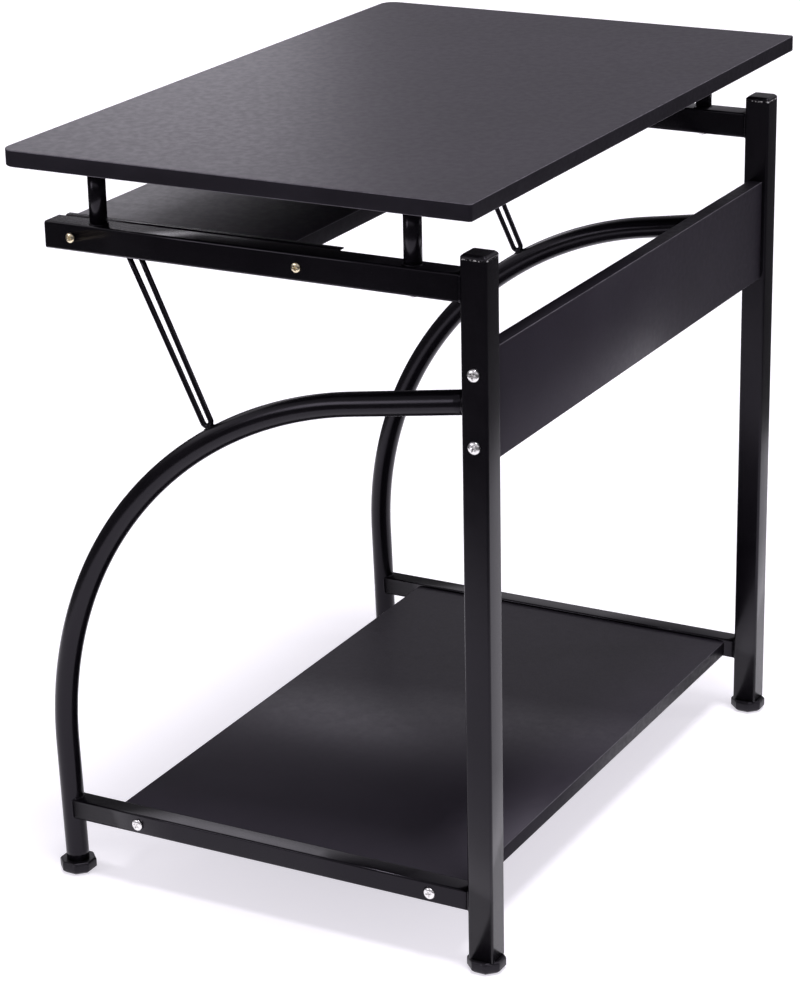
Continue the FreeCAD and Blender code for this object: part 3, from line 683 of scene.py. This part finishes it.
def edging_band(lo, hi, fronts, rears, arris=0.0008):
    """Edging round a board: a closed section carried round the outline. The section runs up
    the outer face between two rounded arrises and back down behind, with its inner corners eased."""
    q = np.linspace(0, np.pi / 2, 6)
    ease = 0.0002
    low_out = np.stack([arris - arris * np.sin(q), arris - arris * np.cos(q)], 1)
    high_out = np.stack([arris - arris * np.cos(q), -arris + arris * np.sin(q)], 1)
    rows = [(EDGING, ease), (EDGING - ease, 0.0)]
    rows += [(a, b) for a, b in low_out]
    tall = hi.z - lo.z
    rows += [(a, tall + b) for a, b in high_out]
    rows += [(EDGING - ease, tall), (EDGING, tall - ease)]
    # The rub mask peaks on the two rounded arrises; it places both scraped wear and a painted highlight
    # there.
    rub_and_highlight_rows = [0.1, 0.3] + [0.9 * math.sin(math.pi * i / 5) for i in range(6)]
    rub_and_highlight_rows += [1.0 * math.sin(math.pi * i / 5) for i in range(6)] + [0.3, 0.1]
    grid = np.stack([level(board_loop(lo, hi, a, fronts, rears), lo.z + b) for a, b in rows])
    return skin(grid, ring=True, edge_wear_and_highlight=np.array(rub_and_highlight_rows)[:, None])


def straight_band(lo, hi, out_axis, out_sign, arris=0.0008):
    """Edging on one straight edge: a section carried along X, flat outside with its two long
    arrises rounded."""
    q = np.linspace(0, np.pi / 2, 6)
    if out_axis == 1:
        thick, tall = hi.y - lo.y, hi.z - lo.z
    else:
        thick, tall = hi.z - lo.z, hi.y - lo.y
    a = np.stack([thick - arris + arris * np.sin(q), arris - arris * np.cos(q)], 1)
    b = np.stack([thick - arris + arris * np.cos(q), tall - arris + arris * np.sin(q)], 1)
    section = np.vstack([[0, 0], a, b, [0, tall]])
    # The rub mask peaks on the two rounded arrises; it places both scraped wear and a painted highlight
    # there.
    rub_and_highlight_cols = np.concatenate([[0.1], 0.9 * np.sin(np.pi * np.arange(6) / 5),
                                0.9 * np.sin(np.pi * np.arange(6) / 5), [0.1]])
    xs = np.array([lo.x, hi.x])
    out, along = section[:, 0], section[:, 1]
    if out_axis == 1:
        y = (lo.y + out) if out_sign > 0 else (hi.y - out)
        z = lo.z + along
    else:
        z = (lo.z + out) if out_sign > 0 else (hi.z - out)
        y = lo.y + along
    grid = np.stack([np.column_stack([np.full(len(y), x), y, z]) for x in xs])
    # the section must run anticlockwise seen from +X for its faces to point outward
    area = 0.5 * np.sum(y * np.roll(z, -1) - np.roll(y, -1) * z)
    if area < 0:
        grid = grid[:, ::-1]
        rub_and_highlight_cols = rub_and_highlight_cols[::-1]
    return skin(grid, edge_wear_and_highlight=rub_and_highlight_cols[None])


TOP_FRONT_R, SMALL_R = 0.015, 0.003
piece("top_board", [flat_board(top_low, top_high, TOP_FRONT_R, SMALL_R)], laminate,
      "frame", ("desktop",))
piece("top_board_edging", [edging_band(top_low, top_high, TOP_FRONT_R, SMALL_R)], tape,
      "frame", ("desktop_edging",))
tray_low, tray_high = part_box("tray_edging")
piece("tray_board", [flat_board(tray_low, tray_high, SMALL_R, SMALL_R)], laminate,
      "tray", ("keyboard_tray",))
piece("tray_board_edging", [edging_band(tray_low, tray_high, SMALL_R, SMALL_R)], tape,
      "tray", ("tray_edging",))


def plain_board(lo, hi):
    """Core of a board whose ends meet the steel: a box with hair-fine eased edges along X."""
    ease = 0.00015
    loop = rounded_box_loop((hi.y - lo.y) / 2, (hi.z - lo.z) / 2, (ease,) * 4, 2)
    grid = carry([(x, (lo.y + hi.y) / 2, (lo.z + hi.z) / 2) for x in (lo.x, hi.x)],
                 (1, 0, 0), (0, 1, 0), loop)
    return skin(grid)


shelf_low, shelf_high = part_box("shelf_edging")
shelf_in_low, shelf_in_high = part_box("shelf")
piece("shelf_board", [plain_board(shelf_in_low, shelf_in_high)], laminate, "frame",
      ("shelf",))


class Corner:
    """A point with named coordinates."""

    def __init__(self, x, y, z):
        self.x, self.y, self.z = x, y, z


def strip(lo, hi, **change):
    """A box's two corners with some coordinates changed: y0 is the low corner's y, y1 the high's."""
    a = {"x": lo.x, "y": lo.y, "z": lo.z}
    b = {"x": hi.x, "y": hi.y, "z": hi.z}
    for key, value in change.items():
        (a if key.endswith("0") else b)[key[0]] = value
    return Corner(**a), Corner(**b)


front_strip = strip(shelf_low, shelf_high, y1=shelf_low.y + EDGING)
rear_strip = strip(shelf_low, shelf_high, y0=shelf_high.y - EDGING)
piece("shelf_board_edging", [straight_band(*front_strip, 1, -1), straight_band(*rear_strip, 1, 1)],
      tape, "frame", ("shelf_edging",))

panel_low, panel_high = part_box("back_panel_edging")
panel_in_low, panel_in_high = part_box("back_panel")
piece("back_panel_board", [plain_board(panel_in_low, panel_in_high)], laminate,
      "frame", ("back_panel",))
low_strip = strip(panel_low, panel_high, z1=panel_low.z + EDGING)
high_strip = strip(panel_low, panel_high, z0=panel_high.z - EDGING)
piece("back_panel_tape", [straight_band(*low_strip, 2, -1), straight_band(*high_strip, 2, 1)],
      tape, "frame", ("back_panel_edging",))

# ---------------------------------------------------------------- caps, plugs and feet


def stacked(loops, heights, edge_wear_and_highlight=None):
    """Closed form from loops one above another."""
    grid = np.stack([level(loop, z) for loop, z in zip(loops, heights)])
    return skin(grid, edge_wear_and_highlight=None if edge_wear_and_highlight is None else np.array(edge_wear_and_highlight)[:, None])


def square_moulding(rows):
    """Square plastic end for a post-sized tube, from rows of inset, height and wear in millimetres."""
    loops = [square_loop(POST - 2 * i * MM, max(POST_ROUND - 0.3 * i * MM, 0.001)) for i, _, _ in rows]
    return stacked(loops, [h * MM for _, h, _ in rows], [w for _, _, w in rows])


def post_cap():
    """Cap pushed into a post: a low rounded pyramid whose sides slope in, then a flat top."""
    rows = ((0.0, 0.0, 0.2), (0.0, 0.9, 0.8), (0.25, 1.5, 1.0), (0.9, 2.2, 0.8), (1.7, 2.9, 0.6),
            (2.3, 3.35, 0.8), (3.0, 3.5, 0.4))
    return moved(square_moulding(rows), (x_side, y_post, post_high.z))


def rail_plug():
    """Flat plug in the front end of a top rail, with a rounded rim."""
    rows = ((0.0, 0.0, 0.2), (0.0, 1.1, 0.7), (0.3, 1.7, 1.0), (0.9, 2.0, 0.6), (2.2, 2.0, 0.0))
    turned = square_moulding(rows)
    p = turned["points"]
    turned["points"] = np.column_stack([p[:, 0] + x_side, y_rail_front - p[:, 2], z_rail + p[:, 1]])
    return turned


def glide(y):
    """Octagonal glide under a tube: chamfered sole, upright flats, and a bevel up to a flat
    collar that hugs the tube. Rows are inset, height and wear, in millimetres."""
    flats = 33.0
    rows = ((7.0, 0.0, 0.2), (6.0, 0.15, 0.6), (3.2, 1.5, 0.4), (0.5, 2.7, 0.8), (0.0, 3.2, 0.9),
            (0.0, 6.5, 0.1), (0.0, 9.9, 0.5), (0.5, 10.6, 1.0), (1.6, 11.4, 0.8), (2.8, 11.9, 0.5),
            (4.0, 12.0, 0.1))
    loops = [octagon_loop((flats - i) * MM, 1.2 * MM) for i, _, _ in rows]
    part = stacked(loops, [h * MM for _, h, _ in rows], [w for _, _, w in rows])
    return moved(part, (x_side, y, 0.0))


def both_sides(parts):
    """Surfaces and their mirror images."""
    return parts + [mirrored(p) for p in parts]


piece("post_cap_tops", both_sides([post_cap()]), plastic, "frame", ("post_caps",))
piece("rail_end_plugs", both_sides([rail_plug()]), plastic, "frame", ("rail_plugs",))
piece("rear_glides", both_sides([glide(y_post)]), plastic, "frame", ("rear_feet",))
piece("front_glides", both_sides([glide(y_foot)]), plastic, "frame", ("front_feet",))

# ---------------------------------------------------------------- screws and bolts


# Kinds of screw: the head's radius and height, the shank's radius and length, the recess's reach.
PANEL_BOLT = (0.00575, 0.0038, 0.003, 0.060, 0.0030)
SHELF_SCREW = (0.0055, 0.0029, 0.00225, 0.050, 0.0028)
RUNNER_SCREW = (0.0045, 0.0025, 0.002, 0.026, 0.0023)
TOP_BOLT = (0.00575, 0.0038, 0.003, 0.090, 0.0029)
TRAY_SCREW = (0.0035, 0.0019, 0.00175, 0.0118, 0.0018)


def screw(spot, axis, kind, turn):
    """Pan-head screw. Its head is the height field low + (height - low) * sqrt(1 - (r / radius)^2 * 0.96)
    over a polar grid, less a cross-shaped recess that is deepest in the middle; a plain shank
    carries on behind the head."""
    radius, height, shank_r, shank, arm = kind
    low = 0.30 * height
    radial = np.concatenate([[radius * 0.97, radius, radius], radius * np.linspace(0.985, 0.02, 26)])
    angle = np.linspace(0, 2 * np.pi, 72, endpoint=False)
    r, a = np.meshgrid(radial, angle, indexing="ij")
    u, v = r * np.cos(a + turn), r * np.sin(a + turn)
    dome = low + (height - low) * np.sqrt(np.clip(1 - (r / radius) ** 2 * 0.96, 0, 1))
    half_slot = arm * 0.17

    def inside(d, limit, soft):
        return 1 / (1 + np.exp((np.abs(d) - limit) / soft))

    soft = 0.00009
    cross = np.maximum(inside(u, half_slot, soft) * inside(v, arm, soft),
                       inside(v, half_slot, soft) * inside(u, arm, soft))
    core = inside(r, half_slot * 1.5, soft)
    h = dome - np.maximum(cross, core) * height * (0.62 - 0.25 * r / arm)
    h[0] = 0.0
    h[1] = 0.0
    h[2] = low * 0.8
    axis = np.asarray(axis, float)
    side = np.array([0.0, 1.0, 0.0]) if abs(axis[1]) < 0.5 else np.array([1.0, 0.0, 0.0])
    other = np.cross(axis, side)
    spot = np.asarray(spot, float)
    grid = spot + (r * np.cos(a))[..., None] * side + (r * np.sin(a))[..., None] * other + h[..., None] * axis
    parts = [skin(grid[1:])]
    stem = carry([spot - axis * shank, spot + axis * 0.0002], axis, side, round_loop(shank_r, 20))
    parts.append(skin(stem))
    return parts


def rows_of(node, radius):
    """The Y and Z lines of a node's screws, a head's radius inside its box."""
    lo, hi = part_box(node)
    ys = (lo.y + radius, hi.y - radius) if hi.y - lo.y > 3 * radius else ((lo.y + hi.y) / 2,)
    zs = (lo.z + radius, hi.z - radius) if hi.z - lo.z > 3 * radius else ((lo.z + hi.z) / 2,)
    return ys, zs


def side_screws(name, node, kind, x_face, material):
    """A row of screws on both side frames, their heads on the outer faces and no two of their
    recesses turned alike."""
    parts = []
    ys, zs = rows_of(node, kind[0])
    for k, (y, z) in enumerate([(y, z) for y in ys for z in zs]):
        parts += screw((x_face, y, z), (1, 0, 0), kind, 0.5 + 0.9 * k)
        parts += [mirrored(p) for p in screw((x_face, y, z), (1, 0, 0), kind, 1.1 + 0.7 * k)]
    piece(name, parts, material, "frame", (node,))


side_screws("panel_bolt_heads", "panel_bolts", PANEL_BOLT, post_high.x, zinc)
side_screws("shelf_screw_heads", "shelf_screws", SHELF_SCREW, low_high.x, zinc)
side_screws("runner_screw_heads", "runner_screws", RUNNER_SCREW, rail_high.x, brassy)
under = []
for k, y in enumerate(riser_ys):
    under += screw((x_side, y, z_rail_under), (0, 0, -1), TOP_BOLT, 0.4 + k)
piece("top_bolt_heads", both_sides(under), zinc, "frame", ("desktop_bolts",))
tscrew_low, tscrew_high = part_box("tray_screws")
z_tray_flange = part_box("tray_runner_right")[0].z
head_r = TRAY_SCREW[0]
tray_heads = []
for k, y in enumerate((tscrew_low.y + head_r, tscrew_high.y - head_r)):
    tray_heads += screw((tscrew_high.x - head_r, y, z_tray_flange), (0, 0, -1), TRAY_SCREW, 0.8 + k)
piece("tray_screw_heads", both_sides(tray_heads), zinc, "tray", ("tray_screws",))

# ---------------------------------------------------------------- runners


def along_y(loop_xz, y0, y1):
    """A section in X and Z carried along Y, its faces outward."""
    x, z = loop_xz[:, 0], loop_xz[:, 1]
    area = 0.5 * np.sum(x * np.roll(z, -1) - np.roll(x, -1) * z)
    loop = loop_xz if area < 0 else loop_xz[::-1]
    ys = np.linspace(y0, y1, 4)
    grid = np.stack([np.column_stack([loop[:, 0], np.full(len(loop), y), loop[:, 1]]) for y in ys])
    return skin(grid)


run_low, run_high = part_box("fixed_runner_right")
t = SHEET / 2
channel = bent_sheet_loop([(run_low.x, run_low.z + t), (run_high.x - t, run_low.z + t),
                           (run_high.x - t, run_high.z - t), (run_high.x - 0.007, run_high.z - t)],
                          SHEET, 0.0014)
fixed = [along_y(channel, run_low.y, run_high.y)]


def stop_tab(y0, y1):
    """Bent-up stop in the channel's track: a small rounded block."""
    loop = rounded_box_loop(0.0036, (y1 - y0) / 2, (0.0004,) * 4, 3)
    loop = loop + np.array([run_low.x + 0.0005 + 0.0036, (y0 + y1) / 2])
    rows = ((0.0, -0.0006), (0.0, 0.0030), (0.0002, 0.0034), (0.0005, 0.0035))
    middle = loop.mean(0)
    grid = np.stack([level(middle + (loop - middle) * (1 - 200 * i), h) for i, h in rows])
    return moved(skin(grid), (0, 0, run_low.z + SHEET))


roller_lo, roller_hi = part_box("rear_rollers")
roller_r = (roller_hi.z - roller_lo.z) / 2
y_rear_roller = (roller_lo.y + roller_hi.y) / 2
chord = math.sqrt(roller_r ** 2 - (roller_r + 0.00005 - 0.0035) ** 2)
travel = max(j["range_m"][1] for j in frame["joints"] if j["type"] == "slide")
y_stop = y_rear_roller - travel - chord - 0.0003
fixed.append(stop_tab(y_stop - 0.0016, y_stop))
y_stop = y_rear_roller + chord + 0.0003
fixed.append(stop_tab(y_stop, y_stop + 0.0016))

tray_run_low, tray_run_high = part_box("tray_runner_right")
x_web = tray_high.x + t
section = bent_sheet_loop([(tray_run_low.x, tray_run_low.z + t), (x_web, tray_run_low.z + t),
                           (x_web, tray_run_high.z - t), (tray_run_high.x, tray_run_high.z - t)],
                          SHEET, 0.0009)
moving = [along_y(section, tray_run_low.y, tray_run_high.y)]
for side, sign in SIDES:
    piece("fixed_channel_" + side, fixed if sign > 0 else [mirrored(p) for p in fixed], coat,
          "frame", ("fixed_runner_" + side,))
    piece("tray_slide_" + side, moving if sign > 0 else [mirrored(p) for p in moving], coat,
          "tray", ("tray_runner_" + side,))


def roller(node, count=56):
    """Nylon roller turned about X: a closed profile of bore, dished faces and a rounded tread,
    carried round the axis."""
    lo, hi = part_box(node)
    r = (hi.z - lo.z) / 2
    y, z = (lo.y + hi.y) / 2, (lo.z + hi.z) / 2
    wide, bore = ROLLER_WIDE, ROLLER_BORE_R
    e = 0.0009
    q = np.linspace(0, np.pi / 2, 5)
    tread_out = np.stack([wide - e + e * np.sin(q), r - e + e * np.cos(q)], 1)
    tread_in = np.stack([e - e * np.sin(q[::-1]), r - e + e * np.cos(q[::-1])], 1)
    profile = np.vstack([[(0.0, bore), (0.0, 0.0046), (0.0008, 0.0052), (0.0008, r - 0.0024),
                          (0.0, r - 0.0018)], tread_in, tread_out,
                         [(wide, r - 0.0018), (wide - 0.0008, r - 0.0024), (wide - 0.0008, 0.0052),
                          (wide, 0.0046), (wide, bore)]])
    a = np.linspace(0, 2 * np.pi, count, endpoint=False)
    x0 = hi.x - wide
    grid = np.stack([np.column_stack([np.full(len(a), x0 + px), y + pr * np.cos(a), z + pr * np.sin(a)])
                     for px, pr in profile])
    return skin(grid, ring=True)


def rivet(node, head_inside):
    """Rivet that a roller turns on: a plain shank with a low domed head."""
    lo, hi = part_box(node)
    r = (hi.z - lo.z) / 2
    y, z = (lo.y + hi.y) / 2, (lo.z + hi.z) / 2
    head = [(0.0, 0.0006), (0.0001, r * 0.6), (0.0003, r * 0.9), (0.0006, r), (0.0006, RIVET_R)]
    if head_inside:
        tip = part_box("front_rollers")[1].x - ROLLER_WIDE - 0.0009
        profile = [(tip + x, ring_r) for x, ring_r in head] + [(hi.x, RIVET_R)]
    else:
        profile = [(tray_high.x + SHEET, RIVET_R)] + [(hi.x - x, ring_r) for x, ring_r in head[::-1]]
    a = np.linspace(0, 2 * np.pi, 40, endpoint=False)
    grid = np.stack([np.column_stack([np.full(len(a), px), y + pr * np.cos(a), z + pr * np.sin(a)])
                     for px, pr in profile])
    return skin(grid)


piece("front_roller_pair", both_sides([roller("front_rollers")]), nylon, "front_rollers",
      ("front_rollers",))
piece("rear_roller_pair", both_sides([roller("rear_rollers")]), nylon, "rear_rollers",
      ("rear_rollers",))
piece("front_rivets", both_sides([rivet("front_axles", True)]), fitting, "frame",
      ("front_axles",))
piece("rear_rivets", both_sides([rivet("rear_axles", False)]), fitting, "tray",
      ("rear_axles",))

# ---------------------------------------------------------------- finishes of the pieces kept from CAD

kept = {"desktop_inserts": fitting, "panel_dowels": fitting}
for node, material in kept.items():
    data = frame["nodes"][node].data
    if len(data.materials) == 0:
        data.materials.append(material)
    for k in range(len(data.materials)):
        data.materials[k] = material

# ---------------------------------------------------------------- floor, light and camera


STUDIO_TINT = (1.0, 0.97, 1.045, 1)
NEAR_FLOOR = 1.25


def pale_floor():
    """Matt off-white floor, faintly mottled and slightly lit from below like a light table. It is a
    disc under the desk and a wide ring round it. Only the disc shows in reflections, so
    the upper steel mirrors a darker room."""
    m, nt, bsdf, vec = new_material("pale_floor")
    cloud = noise(nt, vec, 1.3, 3.0, 0.5)
    nt.links.new(blended(nt, cloud, (0.58, 0.58, 0.58), (0.61, 0.61, 0.61)), bsdf.inputs["Base Color"])
    bsdf.inputs["Roughness"].default_value = 0.9
    bsdf.inputs["Specular IOR Level"].default_value = 0.0
    bsdf.inputs["Emission Color"].default_value = STUDIO_TINT
    bsdf.inputs["Emission Strength"].default_value = 0.62
    a = np.linspace(0, 2 * np.pi, 97)[:-1]
    rim = np.column_stack([np.cos(a), np.sin(a), np.zeros(96)])
    down = np.array([0, 0, -0.0004])
    disc = {"points": rim * NEAR_FLOOR + down, "quads": np.zeros((0, 4), int), "caps": [np.arange(96)]}
    ring = skin(np.stack([rim * NEAR_FLOOR + down, rim * 14 + down])[:, ::-1], start=False, end=False)
    for name, part in (("floor_disc", disc), ("floor_ring", ring)):
        mesh = bpy.data.meshes.new(name)
        faces = part["quads"].tolist() + [c.tolist() for c in part["caps"]]
        mesh.from_pydata(part["points"].tolist(), [], faces)
        mesh.materials.append(m)
        obj = bpy.data.objects.new(name, mesh)
        bpy.context.scene.collection.objects.link(obj)
        obj.visible_glossy = name == "floor_disc"


def pale_backdrop():
    """White wall far behind, all round: a drum that only the camera sees."""
    m = bpy.data.materials.new("pale_backdrop")
    m.use_nodes = True
    nt = m.node_tree
    nt.nodes.clear()
    out = nt.nodes.new("ShaderNodeOutputMaterial")
    glow = nt.nodes.new("ShaderNodeEmission")
    nt.links.new(glow.outputs["Emission"], out.inputs["Surface"])
    a = np.linspace(0, 2 * np.pi, 97)[:-1]
    grid = np.stack([np.column_stack([13.5 * np.cos(a), 13.5 * np.sin(a), np.full(96, z)])
                     for z in (-0.1, 9.0)])
    wall = skin(grid, start=False, end=False)
    mesh = bpy.data.meshes.new("backdrop_drum")
    mesh.from_pydata(wall["points"].tolist(), [], wall["quads"].tolist())
    mesh.materials.append(m)
    obj = bpy.data.objects.new("backdrop_drum", mesh)
    bpy.context.scene.collection.objects.link(obj)
    obj.visible_glossy = obj.visible_diffuse = obj.visible_shadow = False


pale_floor()
pale_backdrop()


def stand(obj, right, up, back, place):
    """Puts an object at a place, with its own three axes along the given directions."""
    m = Matrix.Identity(4)
    for i in range(3):
        m[i][0], m[i][1], m[i][2], m[i][3] = right[i], up[i], back[i], place[i]
    obj.matrix_world = m


def aimed(name, data, place, aim):
    """Light at a place, turned to face a point."""
    obj = bpy.data.objects.new(name, data)
    bpy.context.scene.collection.objects.link(obj)
    place, aim = np.asarray(place, float), np.asarray(aim, float)
    back = (place - aim) / np.linalg.norm(place - aim)
    right = np.cross((0, 1, 0) if abs(back[2]) > 0.95 else (0, 0, 1), back)
    right /= np.linalg.norm(right)
    up = np.cross(back, right)
    stand(obj, right, up, back, place)
    return obj


def softbox(name, place, aim, size, power):
    """Rectangular soft light that doesn't show itself to the camera."""
    data = bpy.data.lights.new(name, "AREA")
    data.shape = "RECTANGLE"
    data.size, data.size_y = size
    data.energy = power
    data.color = STUDIO_TINT[:3]
    aimed(name, data, place, aim).visible_camera = False


def overhead(name, place, strength, spread):
    """Even light from a bright ceiling, as a very wide sun."""
    data = bpy.data.lights.new(name, "SUN")
    data.energy = strength
    data.angle = math.radians(spread)
    data.color = STUDIO_TINT[:3]
    aimed(name, data, place, (0, 0, 0))


def studio_walls():
    """Dim surroundings, with one bright band a little above eye height."""
    world = bpy.data.worlds.new("studio_walls")
    bpy.context.scene.world = world
    world.use_nodes = True
    nt = world.node_tree
    sky = nt.nodes["Background"]
    where = nt.nodes.new("ShaderNodeTexCoord")
    parts = nt.nodes.new("ShaderNodeSeparateXYZ")
    nt.links.new(where.outputs["Generated"], parts.inputs["Vector"])
    rise = calc(nt, "MULTIPLY_ADD", parts.outputs["Z"], 0.5)
    rise.node.inputs[2].default_value = 0.5
    tone = ramp(nt, rise, ((0.0, 0.12), (0.45, 0.09), (0.61, 0.055), (0.665, 0.90), (0.82, 0.30),
                           (1.0, 0.35)))
    tinted = blended(nt, 1.0, tone, STUDIO_TINT[:3])
    tinted.node.blend_type = "MULTIPLY"
    nt.links.new(tinted, sky.inputs["Color"])
    sky.inputs["Strength"].default_value = 1.0


studio_walls()
overhead("ceiling", (0.25, 0.5, 3.0), 1.9, 14)
softbox("glow_over_front_corner", (-0.99, -0.97, 1.09), (0.3, -0.1, 0.72), (0.5, 0.5), 1.35)
softbox("fill_at_outer_side", (2.6, -1.8, 1.5), (0, 0, 0.4), (1.0, 1.0), 11)
softbox("strip_at_rear", (-1.9, 2.6, 1.6), (0, 0, 0.4), (0.4, 1.6), 9)

bpy.context.scene.view_settings.view_transform = "Standard"

CAMERA_TURN, CAMERA_RISE, CAMERA_ROLL = (math.radians(a) for a in (118.461, 20.309, -1.167))
CAMERA_AIM = (0.0, -0.02879, 0.31291)
CAMERA_AWAY = 2.9716

back = np.array([math.sin(CAMERA_TURN) * math.cos(CAMERA_RISE),
                 -math.cos(CAMERA_TURN) * math.cos(CAMERA_RISE), math.sin(CAMERA_RISE)])
right = np.cross(-back, (0, 0, 1))
right /= np.linalg.norm(right)
up = np.cross(back, right)
c, s = math.cos(CAMERA_ROLL), math.sin(CAMERA_ROLL)
right, up = right * c + up * s, up * c - right * s
camera = bpy.data.cameras.new("camera")
camera.lens = 110.29
camera.sensor_width = 36.0
camera_obj = bpy.data.objects.new("camera", camera)
bpy.context.scene.collection.objects.link(camera_obj)
stand(camera_obj, right, up, back, np.array(CAMERA_AIM) + back * CAMERA_AWAY)
bpy.context.scene.camera = camera_obj
